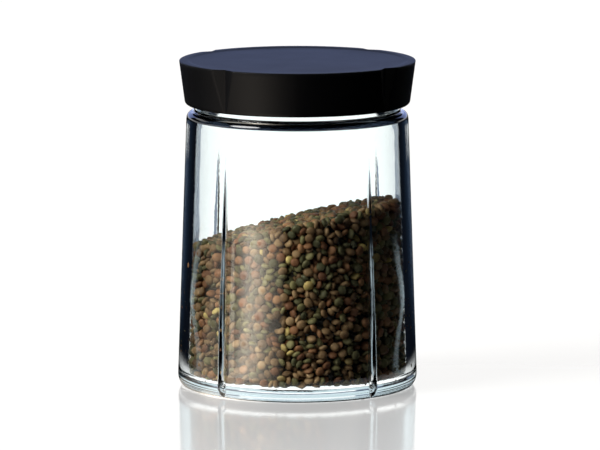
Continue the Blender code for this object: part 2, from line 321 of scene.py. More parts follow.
def lid_cover(material):
    """The turned cover with its dish, grooves and the hollow that the plug clips into."""
    lean = (LID_TOP_RADIUS - LID_LOW_RADIUS) / (HEIGHT - LID_BOTTOM_Z)
    corner = LID_LOW_RADIUS + lean * LID_CORNER - LID_CORNER
    dish = LID_TOP_RADIUS - 2 * LID_DISH_RIM
    rim = LID_TOP_RADIUS - LID_DISH_RIM
    rib = SKIRT_BORE - GAP - LID_RIB
    rib_low = FLANGE_Z + FLANGE + GAP
    plate = HEIGHT - LID_PLATE
    outline = [(0.0, HEIGHT - LID_DISH)]
    outline += line(outline[0], (dish, HEIGHT - LID_DISH), 6)
    for share in np.linspace(0, 1, 7)[1:]:
        sunk = LID_DISH * (0.5 + 0.5 * math.cos(math.pi * share))
        outline.append((dish + (rim - dish) * share, HEIGHT - sunk))
    edge = (LID_TOP_RADIUS - LID_EDGE_ROUND, HEIGHT - LID_EDGE_ROUND)
    outline += line(outline[-1], (edge[0], HEIGHT), 3)[:-1]
    outline += arc(edge, (LID_EDGE_ROUND, LID_EDGE_ROUND), 90, 0, 5)
    outline += line(outline[-1], (corner + LID_CORNER, LID_BOTTOM_Z + LID_CORNER), 12)[:-1]
    outline += arc((corner, LID_BOTTOM_Z + LID_CORNER), (LID_CORNER, LID_CORNER), 0, -90, 8)
    outline += line(outline[-1], (SKIRT_BORE + CORNER, LID_BOTTOM_Z), 2)
    outline += [(SKIRT_BORE, LID_BOTTOM_Z + CORNER), (SKIRT_BORE, rib_low - CORNER)]
    outline += [(SKIRT_BORE - CORNER, rib_low), (rib + CORNER, rib_low), (rib, rib_low + CORNER)]
    outline += [(rib, plate - CORNER), (rib - CORNER, plate), (0.0, plate)]
    points, faces = turned_points(outline[::-1], round_columns(LID_TURN), grooved_lid)
    cover = add_piece("cover", points, faces, material, "lid")
    cover.data.set_sharp_from_angle(angle=math.radians(40))
    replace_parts(cover, "lid_cover")


# Lentils: thrown in along the glass and over the heap, then pushed apart until they touch

def heap_top(x, y):
    return HEAP_Z + HEAP_RISE_RIGHT * x + HEAP_RISE_BACK * y


def into_corner(radius, z):
    """How far out and down a point lies from the middle of the round inner corner, and both together."""
    out = np.maximum(radius - (inner_radius(GLASS_FLOOR + INNER_ROUND) - INNER_ROUND), 0)
    down = np.maximum(GLASS_FLOOR + INNER_ROUND - z, 0)
    return out, down, np.hypot(out, down) * (out > 0) * (down > 0)


def thrown_lentils(rng):
    """Centres and axes of the lentils that can be seen: along the wall and on top."""
    tall = HEAP_Z + HEAP_RISE_RIGHT * FOOT_RADIUS
    count = int(math.pi * FOOT_RADIUS ** 2 * tall / ROOM_PER_LENTIL)
    radius = FOOT_RADIUS * np.sqrt(rng.random(count))
    angle = rng.random(count) * 2 * math.pi
    z = GLASS_FLOOR + LOWEST_THROW + rng.random(count) * (tall - GLASS_FLOOR)
    centres = np.stack([radius * np.cos(angle), radius * np.sin(angle), z], axis=1)
    room = heap_top(centres[:, 0], centres[:, 1]) - LENTIL_THICK / 2 - z
    wall = inner_radius(z) - LENTIL_THICK / 2 - radius
    corner = into_corner(radius, z)[2] < INNER_ROUND - LENTIL_THICK / 2
    kept = (room > 0) & (wall > 0) & corner & ((wall < HEAP_SKIN) | (room < HEAP_SKIN))
    centres = centres[kept]
    axes = rng.normal(size=centres.shape) + [0, 0, AXIS_LEAN] + outward_of(centres) * AXIS_LEAN
    return centres, axes / np.linalg.norm(axes, axis=1)[:, None]


def near_pairs(centres, reach):
    """Index pairs of lentils whose centres lie within reach of each other."""
    order = np.argsort(centres[:, 2])
    z = centres[order, 2]
    ends = np.searchsorted(z, z + reach)
    counts = ends - np.arange(len(z)) - 1
    first = np.repeat(np.arange(len(z)), counts)
    second = np.arange(counts.sum()) - np.repeat(np.cumsum(counts) - counts, counts) + first + 1
    first, second = order[first], order[second]
    close = np.sum((centres[first] - centres[second]) ** 2, axis=1) < reach ** 2
    return first[close], second[close]


def square_axes(axes):
    """Two axes across each lentil's own, at right angles to it and to each other."""
    helper = np.where(np.abs(axes[:, 2:3]) < 0.9, [[0.0, 0.0, 1.0]], [[1.0, 0.0, 0.0]])
    across = np.cross(axes, helper)
    across /= np.linalg.norm(across, axis=1)[:, None]
    return across, np.cross(axes, across)


def outward_of(centres):
    """Unit vectors that point from the jar's axis to each centre."""
    return centres * [1, 1, 0] / np.linalg.norm(centres[:, :2], axis=1)[:, None]


def balls_of(centres, axes):
    """Seven balls that fill each lentil: (count, 7, 3)."""
    across, along = square_axes(axes)
    turns = np.arange(BALLS - 1) * 2 * math.pi / (BALLS - 1)
    ring = across[:, None] * np.cos(turns)[:, None] + along[:, None] * np.sin(turns)[:, None]
    arms = np.concatenate([np.zeros((len(axes), 1, 3)), ring * BALL_ARM], axis=1)
    return centres[:, None] + arms


def pile_up(count, index, values):
    """Sum of values at each index, one column at a time."""
    return np.stack([np.bincount(index, values[:, k], count) for k in range(3)], axis=1)


def pushes_apart(centres, balls, first, second):
    """Shift and spin of each lentil, from the deepest overlap of each pair that touches."""
    count = len(centres)
    gaps = balls[first][:, :, None] - balls[second][:, None]
    apart = np.sqrt(np.sum(gaps ** 2, axis=3)) + 1e-9
    overlap = (BALL_RADII[:, None] + BALL_RADII - apart).reshape(len(first), BALLS ** 2)
    worst = np.argmax(overlap, axis=1)
    rows = np.arange(len(first))
    depth = overlap[rows, worst]
    hit = depth > 0
    one, two, rows, worst = first[hit], second[hit], rows[hit], worst[hit]
    way = gaps.reshape(len(first), BALLS ** 2, 3)[rows, worst]
    way /= np.linalg.norm(way, axis=1)[:, None]
    push = way * depth[hit][:, None] * PUSH_APART
    arm_one = balls[one, worst // BALLS] - centres[one]
    arm_two = balls[two, worst % BALLS] - centres[two]
    shift = pile_up(count, one, push) - pile_up(count, two, push)
    spin = pile_up(count, one, np.cross(arm_one, push)) - pile_up(count, two, np.cross(arm_two, push))
    return shift, spin


def walls_in_the_way(centres, balls):
    """How far each ball is into the wall, the floor, the heap's top and the corner, and the way back."""
    radial = np.linalg.norm(balls[:, :, :2], axis=2)
    out = radial + BALL_RADII - inner_radius(balls[:, :, 2]) + GAP / 3
    low = GLASS_FLOOR + GAP / 3 + BALL_RADII - balls[:, :, 2]
    high = balls[:, :, 2] + BALL_RADII - heap_top(balls[:, :, 0], balls[:, :, 1])
    outward = outward_of(centres)
    corner_out, corner_down, corner_reach = into_corner(radial, balls[:, :, 2])
    corner = np.where(corner_reach > 0, corner_reach + BALL_RADII - INNER_ROUND, 0)
    ball = (np.arange(len(centres)), np.argmax(corner, axis=1))
    inward = np.array([[0, 0, 1]]) * corner_down[ball][:, None] - outward * corner_out[ball][:, None]
    inward /= corner_reach[ball][:, None] + 1e-9
    return (out, -outward), (low, [[0, 0, 1]]), (high, [[0, 0, -1]]), (corner, inward)


def settled(centres, axes):
    """Pushes overlapping lentils apart and inside the glass, a little each round."""
    rows = np.arange(len(centres))
    for step in range(SETTLING_ROUNDS):
        if step % ROUNDS_PER_LIST == 0:
            first, second = near_pairs(centres, LENTIL_NEAR)
        balls = balls_of(centres, axes)
        shift, spin = pushes_apart(centres, balls, first, second)
        for over, direction in walls_in_the_way(centres, balls):
            ball = np.argmax(over, axis=1)
            amount = np.maximum(over[rows, ball], 0)[:, None]
            force = amount * np.broadcast_to(direction, centres.shape) * PUSH_INSIDE
            shift += force
            spin += np.cross(balls[rows, ball] - centres, force)
        from_axis = (centres[:, :2] ** 2).sum(axis=1)[:, None]
        shift += outward_of(centres) * DRIFT_OUT * from_axis / FOOT_RADIUS ** 2
        shift[:, 2] -= SINK * np.exp((GLASS_FLOOR - centres[:, 2]) / SINK_HEIGHT)
        centres = centres + np.clip(shift, -LONGEST_STEP, LONGEST_STEP)
        axes = axes + np.cross(np.clip(spin / LENTIL_RADIUS ** 2, -LARGEST_TURN, LARGEST_TURN), axes)
        axes /= np.linalg.norm(axes, axis=1)[:, None]
    return centres, axes


def lens_shape():
    """One lentil: a lens with a rounded edge, as points and faces."""
    segments = LENS_SEGMENTS
    points = [(0.0, 0.0, LENTIL_THICK / 2)]
    for share, rise in LENS_PROFILE:
        for i in range(segments):
            turn = 2 * math.pi * i / segments
            flat = share * LENTIL_RADIUS
            points.append((flat * math.cos(turn), flat * math.sin(turn), rise * LENTIL_THICK / 2))
    points.append((0.0, 0.0, -LENTIL_THICK / 2))
    faces = [(0, 1 + i, 1 + (i + 1) % segments) for i in range(segments)]
    for ring in range(len(LENS_PROFILE) - 1):
        low = 1 + ring * segments
        faces += [
            (low + i, low + segments + i, low + segments + (i + 1) % segments, low + (i + 1) % segments)
            for i in range(segments)
        ]
    low, end = 1 + (len(LENS_PROFILE) - 1) * segments, len(points) - 1
    faces += [(low + i, end, low + (i + 1) % segments) for i in range(segments)]
    return np.array(points), faces


def lentil_piece(name, centres, axes, tones, sizes, material):
    """One mesh of many lentils of one kind. The tone attribute colours each lentil."""
    shape, faces = lens_shape()
    basis = np.stack([*square_axes(axes), axes], axis=1)
    points = np.einsum("pk,nkc->npc", shape, basis) * sizes[:, None, None] + centres[:, None]
    starts = np.arange(len(centres)) * len(shape)
    all_faces = [tuple(i + start for i in face) for start in starts.tolist() for face in faces]
    piece = add_piece(name, points.reshape(-1, 3), all_faces, material, "jar")
    tone = piece.data.attributes.new("tone", "FLOAT", "POINT")
    tone.data.foreach_set("value", np.repeat(tones, len(shape)).astype(np.float32))
    return piece


def heap_core(material):
    """The inside of the heap, which closes the gaps between the outer lentils. Its near-black coat is
    painted shade for the heap's shaded depths.
    """
    count = CORE_COLUMNS
    low = GLASS_FLOOR + CORE_LIFT
    radius = inner_radius(CORE_MIDDLE_Z) - CORE_INSET
    points = [(0.0, 0.0, low)]
    for row in range(CORE_ROWS + 1):
        for angle in even_columns(count):
            x, y = radius * math.cos(angle), radius * math.sin(angle)
            top = heap_top(x, y) - CORE_INSET
            z = low + (top - low) * row / CORE_ROWS
            shrink = (inner_radius(z) - CORE_INSET) / radius
            points.append((x * shrink, y * shrink, z))
    points.append((0.0, 0.0, HEAP_Z - CORE_INSET))
    faces = [(0, 1 + (i + 1) % count, 1 + i) for i in range(count)]
    for row in range(CORE_ROWS):
        faces += ring_faces(1 + row * count, count)
    start = 1 + CORE_ROWS * count
    faces += [(start + i, start + (i + 1) % count, len(points) - 1) for i in range(count)]
    return add_piece("heap_core", points, faces, material, "jar")


def lentil_heap(coat):
    """Four kinds of lentil round a core coloured with painted shade. Together they stand for the solid
    heap.
    """
    rng = np.random.default_rng(7)
    centres, axes = settled(*thrown_lentils(rng))
    count = len(centres)
    kinds = rng.choice(len(LENTIL_SHARES), size=count, p=list(LENTIL_SHARES.values()))
    tones = rng.random(count)
    sizes = rng.normal(1.0, SIZE_SPREAD, count).clip(*SIZE_LIMITS)
    for index, kind in enumerate(LENTIL_SHARES):
        mine = kinds == index
        look = lentil_look(kind + "_lentil", coat, *LENTIL_COATS[kind])
        piece = lentil_piece("lentils_" + kind, centres[mine], axes[mine], tones[mine], sizes[mine], look)
        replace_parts(piece, "lentil_fill")
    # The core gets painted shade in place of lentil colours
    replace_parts(heap_core(lentil_look("core_painted_shade", coat, *CORE_SHADE_COAT)), "lentil_fill")


# What the glass shows and mirrors: brightness, places and colours. Compass angles are in degrees
SCREEN_GLOW = 1.38
SCREEN_HALF = 45.0
LEFT_SCREEN, LEFT_SCREEN_FROM = -90.0, 1.2
FRONT_SCREEN, FRONT_SCREEN_TO = 135.0, 0.55
OFF_ALL_SCREENS = 180.0
WHITE_FOOT_BEHIND = 0.28
WHITE_FOOT_IN_WALL = 0.085
WHITE_FOOT_EDGE = (-0.04, 0.04)
SOFTBOX_GLOW = 4.6
SOFTBOX_REST = 0.004
SOFTBOX_WARMTH = (1.0, 0.88, 0.745)
SOFTBOX_EDGE = (1.15, 0.95)
SOFTBOX_SIDES = (-80.0, -168.0)
SOFTBOX_STOPS = [
    (0.0, 0.0), (0.07, 0.11), (0.33, 0.15), (0.46, 0.28), (0.55, 0.85),
    (0.61, 1.0), (0.70, 0.80), (0.82, 0.36), (1.0, 0.0),
]
WHITE = (1, 1, 1)
GREY = (0.175, 0.215, 0.290)
DUSK = (0.105, 0.135, 0.200)
NAVY = (0.022, 0.034, 0.064)
DARK = (0.003, 0.004, 0.007)
BOTH_WALLS_STOPS = [(0.0, WHITE), (0.435, WHITE), (0.455, GREY), (0.66, GREY), (0.72, DUSK), (0.76, DARK)]
ONE_WALL_STOPS = [
    (0.0, GREY), (0.20, (0.11, 0.15, 0.22)), (0.33, NAVY),
    (0.45, (0.010, 0.018, 0.034)), (0.60, (0.007, 0.012, 0.022)), (0.80, DARK),
]
BENDS_IN_ONE_WALL = 2.5
IN_FRONT_COMPASS = 62.0
IN_FRONT_DISTANCE = 0.11
MOUTH_COMPASS = (16.0, 10.0)
MOUTH_DISTANCE = (0.80, 0.90)

# The side screens make the bright lines in the front grooves. Their line bends near the jar and far from it
SIDE_SCREEN_COMPASS = 53.0
SIDE_SCREEN_BENDS = ((-150.0, 49.5), (35.0, -14.0))
SIDE_SCREEN_WIDTH = (6.0, 2.5)
SIDE_SCREEN_ENDS = ((0.70, 0.52), (0.05, 0.10))
SIDE_SCREEN_COLOUR = (0.66, 0.80, 0.88)
SIDE_SCREEN_GLOW = 0.72

# Painted shade on the round of the shoulder, between two heights, each with a soft edge: the glass's colour
# turns dark there, where the shoulder's bend of the light shows dark
SHOULDER_LOW = (LEDGE_Z - SHOULDER_ROUND - 0.0003, LEDGE_Z - SHOULDER_ROUND + 0.0001)
SHOULDER_HIGH = (LEDGE_Z - 0.0001, LEDGE_Z - 0.0004)
SHOULDER_PAINTED_SHADE = (0.0004, 0.0008, 0.0020)

# The world: the pale sky seen through glass, and the low band and the patches that gloss mirrors
SKY_COLOUR = (0.50, 0.60, 0.64)
SKY_START = (0.05, 0.12)
SKY_END = (0.62, 0.75)
BAND_HEIGHTS = (-0.02, 0.10)
BAND_GAPS = (90.0, 180.0)
BAND_GAP_EDGE = (34.0, 44.0)
PATCH_WIDTH = 16.0
PATCHES = ((0.0, 0.09, 0.24), (135.0, 0.18, 0.34), (-45.0, 0.34, 0.50), (-90.0, 0.09, 0.24))
MIRRORED_WHITE = (1.07, 1.07, 1.07)
MIRRORED_DARK = (0.006, 0.007, 0.010)
UNLIT = (0.010, 0.010, 0.011)

# The floor: its own light, its grey, and the gloss that grows at low angles
FLOOR_RADIUS = 3.2
FLOOR_CORNERS = 96
FLOOR_UNDER_FOOT = 0.0001
FLOOR_GLOW = 0.74
FLOOR_GREY = (0.43, 0.43, 0.43)
FLOOR_BOUNCE = (0.03, 0.03, 0.03)
FLOOR_GLOSS = (1.0, 0.985, 0.965)
FLOOR_ROUGHNESS = 0.10
FLOOR_SHEEN = (0.70, 0.92, 0.0, 0.9)

# The blue card behind the lid
CARD_SIDE = 0.24
CARD_Y = 0.30
CARD_HEIGHTS = (0.14, 0.42)
CARD_FADE = (0.14, 0.40)
CARD_STOPS = [(0.0, (0.42, 0.53, 0.98)), (1.0, (0.07, 0.09, 0.22))]
CARD_GLOW = 1.3


# Node helpers

def fill_inputs(tree, made, inputs):
    """Gives each input of a node its value or colour, or links it to a socket."""
    for name, value in inputs.items():
        if isinstance(value, bpy.types.NodeSocket):
            tree.links.new(value, made.inputs[name])
        elif isinstance(value, tuple):
            made.inputs[name].default_value = (*value, 1.0)
        else:
            made.inputs[name].default_value = value


def node(tree, kind, inputs=None, **settings):
    """A shader node with its settings, values and links in one call."""
    made = tree.nodes.new("ShaderNode" + kind)
    for name, value in settings.items():
        setattr(made, name, value)
    fill_inputs(tree, made, inputs or {})
    return made


def placed(tree, group, inputs):
    """The outputs of a group that is placed in a tree with its inputs filled."""
    made = node(tree, "Group")
    made.node_tree = group
    fill_inputs(tree, made, inputs)
    return made.outputs


def maths(tree, operation, first, second=0.0, third=0.0, clamp=False):
    made = node(tree, "Math", {0: first, 1: second, 2: third}, operation=operation, use_clamp=clamp)
    return made.outputs[0]


def times(tree, first, second):
    return maths(tree, "MULTIPLY", first, second)


def blended(tree, share, first, second):
    made = node(tree, "Mix", {0: share, 6: first, 7: second}, data_type="RGBA")
    return made.outputs[2]


def mixed(tree, share, first, second):
    return node(tree, "MixShader", {0: share, 1: first, 2: second}).outputs[0]


def glowing(tree, colour, strength):
    return node(tree, "Emission", {"Color": colour, "Strength": strength}).outputs[0]


def noise(tree, where, scale, detail, roughness=0.5):
    """Noise from 0 to 1 at a place, with scale waves in a metre."""
    inputs = {"Vector": where, "Scale": scale, "Detail": detail, "Roughness": roughness}
    return node(tree, "TexNoise", inputs).outputs[0]


def ramp(tree, value, stops):
    """A colour ramp from (place, colour) stops."""
    made = node(tree, "ValToRGB", {0: value})
    places = made.color_ramp.elements
    while len(places) < len(stops):
        places.new(0.5)
    for element, (place, colour) in zip(places, stops):
        element.position = place
        element.color = (*colour, 1.0)
    return made.outputs[0]


def eased(tree, value, start, end, first=0.0, last=1.0):
    """It goes softly from first to last while the value goes from start to end."""
    inputs = {0: value, 1: start, 2: end, 3: first, 4: last}
    return node(tree, "MapRange", inputs, interpolation_type="SMOOTHSTEP").outputs[0]


def between(tree, value, low, high):
    """1 where the value is between low and high, else 0."""
    return times(tree, maths(tree, "GREATER_THAN", value, low), maths(tree, "LESS_THAN", value, high))


def off_compass(tree, compass, centre):
    """How many degrees a compass angle lies from a centre, either way."""
    apart = maths(tree, "WRAP", maths(tree, "SUBTRACT", compass, centre), 180.0, -180.0)
    return maths(tree, "ABSOLUTE", apart)


def compass_and_distance(tree, where):
    """Compass angle in degrees, 0 straight behind the jar, distance from the jar's axis, and height."""
    parts = node(tree, "SeparateXYZ", {0: where}).outputs
    compass = maths(tree, "DEGREES", maths(tree, "ARCTAN2", parts[0], parts[1]))
    squares = maths(tree, "ADD", times(tree, parts[0], parts[0]), times(tree, parts[1], parts[1]))
    return compass, maths(tree, "SQRT", squares), parts[2]


def new_group(name, inputs, outputs):
    """An empty shader group with its sockets: (tree, input node outputs, output node inputs)."""
    group = bpy.data.node_groups.new(name, "ShaderNodeTree")
    for label, kind, value in inputs:
        socket = group.interface.new_socket(label, in_out="INPUT", socket_type="NodeSocket" + kind)
        socket.default_value = value
    for label, kind in outputs:
        group.interface.new_socket(label, in_out="OUTPUT", socket_type="NodeSocket" + kind)
    start = group.nodes.new("NodeGroupInput")
    end = group.nodes.new("NodeGroupOutput")
    return group, start.outputs, end.inputs


def new_material(name, **values):
    """A material with its Principled shader, whose plain values are given here."""
    made = bpy.data.materials.new(name)
    made.use_nodes = True
    shader = made.node_tree.nodes["Principled BSDF"]
    for label, value in values.items():
        shader.inputs[label.replace("_", " ")].default_value = value
    return made, made.node_tree, shader


def bare_material(name):
    """A material without any node yet."""
    made = bpy.data.materials.new(name)
    made.use_nodes = True
    made.node_tree.nodes.clear()
    return made, made.node_tree


def dress_surface(tree, shader, colour, surface, strength, distance):
    """Links a colour, and the roughness and bumps of a surface group, to a Principled shader."""
    bump = node(tree, "Bump", {"Strength": strength, "Distance": distance, "Height": surface["Height"]})
    tree.links.new(colour, shader.inputs["Base Color"])
    tree.links.new(surface["Roughness"], shader.inputs["Roughness"])
    tree.links.new(bump.outputs[0], shader.inputs["Normal"])


# Surfaces

def moulded_skin_group():
    """Fine moulded grain over a slow unevenness: roughness and height for plastic, rubber and glass."""
    group, given, out = new_group(
        "moulded_skin",
        [
            ("Grain Scale", "Float", 2600.0),
            ("Grain Share", "Float", 0.5),
            ("Slow Scale", "Float", 60.0),
            ("Low Roughness", "Float", 0.35),
            ("High Roughness", "Float", 0.5),
        ],
        [("Roughness", "Float"), ("Height", "Float"), ("Cloud", "Float")],
    )
    where = node(group, "TexCoord").outputs["Object"]
    grain = noise(group, where, given["Grain Scale"], detail=2.0)
    slow = noise(group, where, given["Slow Scale"], detail=3.0)
    spread = maths(group, "SUBTRACT", given["High Roughness"], given["Low Roughness"])
    slow_share, grain_share = 0.6, 0.4
    both = maths(group, "ADD", times(group, slow, slow_share), times(group, grain, grain_share))
    rough = maths(group, "MULTIPLY_ADD", both, spread, given["Low Roughness"])
    slow_part = times(group, slow, maths(group, "SUBTRACT", 1.0, given["Grain Share"]))
    height = maths(group, "MULTIPLY_ADD", grain, given["Grain Share"], slow_part)
    group.links.new(rough, out["Roughness"])
    group.links.new(height, out["Height"])
    group.links.new(slow, out["Cloud"])
    return group


def seed_coat_group():
    """The coat of a dry lentil: a tone for each lentil, mottling, specks and a faint unevenness."""
    group, given, out = new_group(
        "seed_coat",
        [
            ("Dark", "Color", (0.05, 0.03, 0.02, 1)),
            ("Middle", "Color", (0.12, 0.07, 0.04, 1)),
            ("Light", "Color", (0.22, 0.14, 0.08, 1)),
            ("Mottle", "Float", 0.3),
        ],
        [("Color", "Color"), ("Roughness", "Float"), ("Height", "Float")],
    )
    patch_start, speck_start, speck_share = 0.35, 0.66, 0.35
    low_roughness, more_roughness = 0.50, 0.25
    tone = node(group, "Attribute", attribute_name="tone").outputs["Fac"]
    where = node(group, "TexCoord").outputs["Object"]
    speck = noise(group, where, scale=1500.0, detail=2.0, roughness=0.6)
    patch = noise(group, where, scale=420.0, detail=2.0)
    low_half = maths(group, "MULTIPLY", tone, 2.0, clamp=True)
    high_half = maths(group, "MULTIPLY_ADD", tone, 2.0, -1.0, clamp=True)
    mottle = times(group, maths(group, "SUBTRACT", patch, patch_start, clamp=True), given["Mottle"])
    specks = times(group, maths(group, "GREATER_THAN", speck, speck_start), speck_share)
    colour = blended(group, low_half, given["Dark"], given["Middle"])
    colour = blended(group, high_half, colour, given["Light"])
    colour = blended(group, mottle, colour, given["Dark"])
    colour = blended(group, specks, colour, given["Dark"])
    group.links.new(colour, out["Color"])
    group.links.new(maths(group, "MULTIPLY_ADD", patch, more_roughness, low_roughness), out["Roughness"])
    group.links.new(maths(group, "MULTIPLY_ADD", speck, 0.5, patch), out["Height"])
    return group


def skin_inputs(grain, grain_share, slow, low, high):
    """The inputs of the moulded skin group: two scales, their share and two roughnesses."""
    return {
        "Grain Scale": grain,
        "Grain Share": grain_share,
        "Slow Scale": slow,
        "Low Roughness": low,
        "High Roughness": high,
    }


def glass_look(skin):
    """Clear pressed glass, slow waves from the mould, and painted shade on the round shoulder. Lamps shine
    through it.
    """
    made, tree, shader = new_material("jar_clear_glass", Transmission_Weight=1.0, IOR=1.5, Metallic=0.0)
    wave = placed(tree, skin, skin_inputs(grain=700.0, grain_share=0.04, slow=34.0, low=0.0, high=0.015))
    height = node(tree, "SeparateXYZ", {0: node(tree, "TexCoord").outputs["Object"]}).outputs[2]
    shade_on_shoulder = times(tree, eased(tree, height, *SHOULDER_LOW), eased(tree, height, *SHOULDER_HIGH))
    glass_tint_and_shade = blended(tree, wave["Cloud"], (0.935, 0.982, 0.980), (0.955, 0.990, 0.985))
    # Painted shade: the glass's colour turns near black on the round of the shoulder, standing for the dark
    # its bend of the light shows
    glass_tint_and_shade = blended(tree, shade_on_shoulder, glass_tint_and_shade, SHOULDER_PAINTED_SHADE)
    dress_surface(tree, shader, glass_tint_and_shade, wave, strength=0.25, distance=0.0003)
    path = node(tree, "LightPath").outputs
    clear = node(tree, "BsdfTransparent", {"Color": (0.93, 0.96, 0.955)}).outputs[0]
    lamp_or_bounce = maths(tree, "MAXIMUM", path["Is Shadow Ray"], path["Is Diffuse Ray"])
    surface = mixed(tree, lamp_or_bounce, shader.outputs[0], clear)
    tree.links.new(surface, tree.nodes["Material Output"].inputs["Surface"])
    return made


def plastic_look(name, skin, colour, worn, grain, roughness, bumps):
    """Moulded plastic or rubber with a fine grain."""
    made, tree, shader = new_material(name, Metallic=0.0, IOR=1.38, Specular_IOR_Level=0.2)
    low, high = roughness
    surface = placed(tree, skin, skin_inputs(grain, grain_share=0.7, slow=45.0, low=low, high=high))
    colour = blended(tree, surface["Cloud"], colour, worn)
    dress_surface(tree, shader, colour, surface, strength=0.35, distance=bumps)
    return made


def lentil_look(name, coat, dark, middle, light, mottle):
    """The matt coat of one kind of lentil."""
    made, tree, shader = new_material(name, Metallic=0.0, Specular_IOR_Level=0.2)
    surface = placed(tree, coat, {"Dark": dark, "Middle": middle, "Light": light, "Mottle": mottle})
    dress_surface(tree, shader, surface["Color"], surface, strength=0.3, distance=0.0001)
    return made


# Studio: the screens seen through the glass, the floor, the world, a card, lamps and the camera

def window_light_group(name, stops):
    """What the glass shows behind it: white screens with grey edges in a dark studio, by compass angle."""
    inputs = [
        ("Compass", "Float", 0.0),
        ("Distance", "Float", 5.0),
        ("White Foot", "Float", WHITE_FOOT_BEHIND),
    ]
    group, given, out = new_group(name, inputs, [("Color", "Color")])
    compass, distance = given["Compass"], given["Distance"]
    too_near = times(group, maths(group, "LESS_THAN", distance, LEFT_SCREEN_FROM), OFF_ALL_SCREENS)
    too_far = times(group, maths(group, "GREATER_THAN", distance, FRONT_SCREEN_TO), OFF_ALL_SCREENS)
    nearest = maths(group, "ABSOLUTE", compass)
    for centre, barred in ((LEFT_SCREEN, too_near), (FRONT_SCREEN, too_far)):
        off_screen = maths(group, "ADD", off_compass(group, compass, centre), barred)
        nearest = maths(group, "MINIMUM", nearest, off_screen)
    screens = ramp(group, maths(group, "DIVIDE", nearest, SCREEN_HALF), stops)
    off_foot = eased(group, maths(group, "SUBTRACT", distance, given["White Foot"]), *WHITE_FOOT_EDGE)
    group.links.new(blended(group, off_foot, WHITE, screens), out["Color"])
    return group


def mirrored_softbox(tree, compass, distance):
    """The warm light at the left, which the glass mirrors as one bright upright reflection."""
    along = node(tree, "MapRange", {0: compass, 1: SOFTBOX_SIDES[0], 2: SOFTBOX_SIDES[1]}).outputs[0]
    stops = [(place, tuple(share * part for part in SOFTBOX_WARMTH)) for place, share in SOFTBOX_STOPS]
    near = eased(tree, distance, *SOFTBOX_EDGE)
    strength = maths(tree, "MULTIPLY_ADD", near, SOFTBOX_GLOW, SOFTBOX_REST)
    return glowing(tree, ramp(tree, along, stops), strength)


def on_side_screen(tree, compass, distance):
    """1 on the two side screens of the floor and 0 off them, with soft edges."""
    centre = SIDE_SCREEN_COMPASS
    for slope, start in SIDE_SCREEN_BENDS:
        bend = maths(tree, "MAXIMUM", maths(tree, "MULTIPLY_ADD", distance, slope, start), 0.0)
        centre = maths(tree, "ADD", centre, bend)
    apart = maths(tree, "SUBTRACT", maths(tree, "ABSOLUTE", compass), centre)
    share = eased(tree, maths(tree, "ABSOLUTE", apart), *SIDE_SCREEN_WIDTH)
    for end in SIDE_SCREEN_ENDS:
        share = times(tree, share, eased(tree, distance, *end))
    return share


def seen_in_glass(tree, screens, edge_screens, mirrored, path, compass, distance):
    """What the floor shows through the glass: one picture through one wall, another through both."""
    places = {"Compass": compass, "Distance": distance}
    behind = placed(tree, screens, {**places, "White Foot": WHITE_FOOT_BEHIND})["Color"]
    in_wall = placed(tree, edge_screens, {**places, "White Foot": WHITE_FOOT_IN_WALL})["Color"]
    off_back = maths(tree, "ABSOLUTE", compass)
    in_front = maths(tree, "GREATER_THAN", off_back, IN_FRONT_COMPASS)
    in_front = times(tree, in_front, maths(tree, "GREATER_THAN", distance, IN_FRONT_DISTANCE))
    side_screen = glowing(tree, SIDE_SCREEN_COLOUR, SIDE_SCREEN_GLOW)
    one_wall = mixed(tree, in_front, glowing(tree, in_wall, SCREEN_GLOW), mirrored)
    one_wall = mixed(tree, on_side_screen(tree, compass, distance), one_wall, side_screen)
    past_mouth = times(tree, eased(tree, off_back, *MOUTH_COMPASS), eased(tree, distance, *MOUTH_DISTANCE))
    both_walls = maths(tree, "GREATER_THAN", path["Transmission Depth"], BENDS_IN_ONE_WALL)
    both_walls = maths(tree, "MAXIMUM", both_walls, past_mouth)
    return mixed(tree, both_walls, one_wall, glowing(tree, behind, SCREEN_GLOW))


def seen_by_camera(tree):
    """A white matt floor that turns glossy at low angles."""
    matt = node(tree, "BsdfDiffuse", {"Color": FLOOR_GREY}).outputs[0]
    lit = node(tree, "AddShader", {0: glowing(tree, WHITE, FLOOR_GLOW), 1: matt}).outputs[0]
    gloss = node(tree, "BsdfGlossy", {"Color": FLOOR_GLOSS, "Roughness": FLOOR_ROUGHNESS}).outputs[0]
    return mixed(tree, eased(tree, node(tree, "LayerWeight").outputs["Facing"], *FLOOR_SHEEN), lit, gloss)


def floor_look(screens, edge_screens):
    """A pale glossy floor. The camera sees it white with the jar's shadow and reflection."""
    made, tree = bare_material("pale_floor")
    compass, distance, _ = compass_and_distance(tree, node(tree, "NewGeometry").outputs["Position"])
    path = node(tree, "LightPath").outputs
    mirrored = mirrored_softbox(tree, compass, distance)
    in_glass = seen_in_glass(tree, screens, edge_screens, mirrored, path, compass, distance)
    dim = node(tree, "BsdfDiffuse", {"Color": FLOOR_BOUNCE}).outputs[0]
    surface = mixed(tree, path["Is Camera Ray"], dim, seen_by_camera(tree))
    surface = mixed(tree, path["Is Glossy Ray"], surface, mirrored)
    surface = mixed(tree, path["Is Transmission Ray"], surface, in_glass)
    node(tree, "OutputMaterial", {"Surface": surface})
    return made


def seen_behind(tree, screens, compass, height):
    """The world through glass: the screens low down, a pale sky over them and dark at the top."""
    behind = placed(tree, screens, {"Compass": compass, "Distance": 5.0, "White Foot": 0.0})["Color"]
    behind = blended(tree, eased(tree, height, *SKY_START), behind, SKY_COLOUR)
    return blended(tree, eased(tree, height, *SKY_END), behind, DARK)


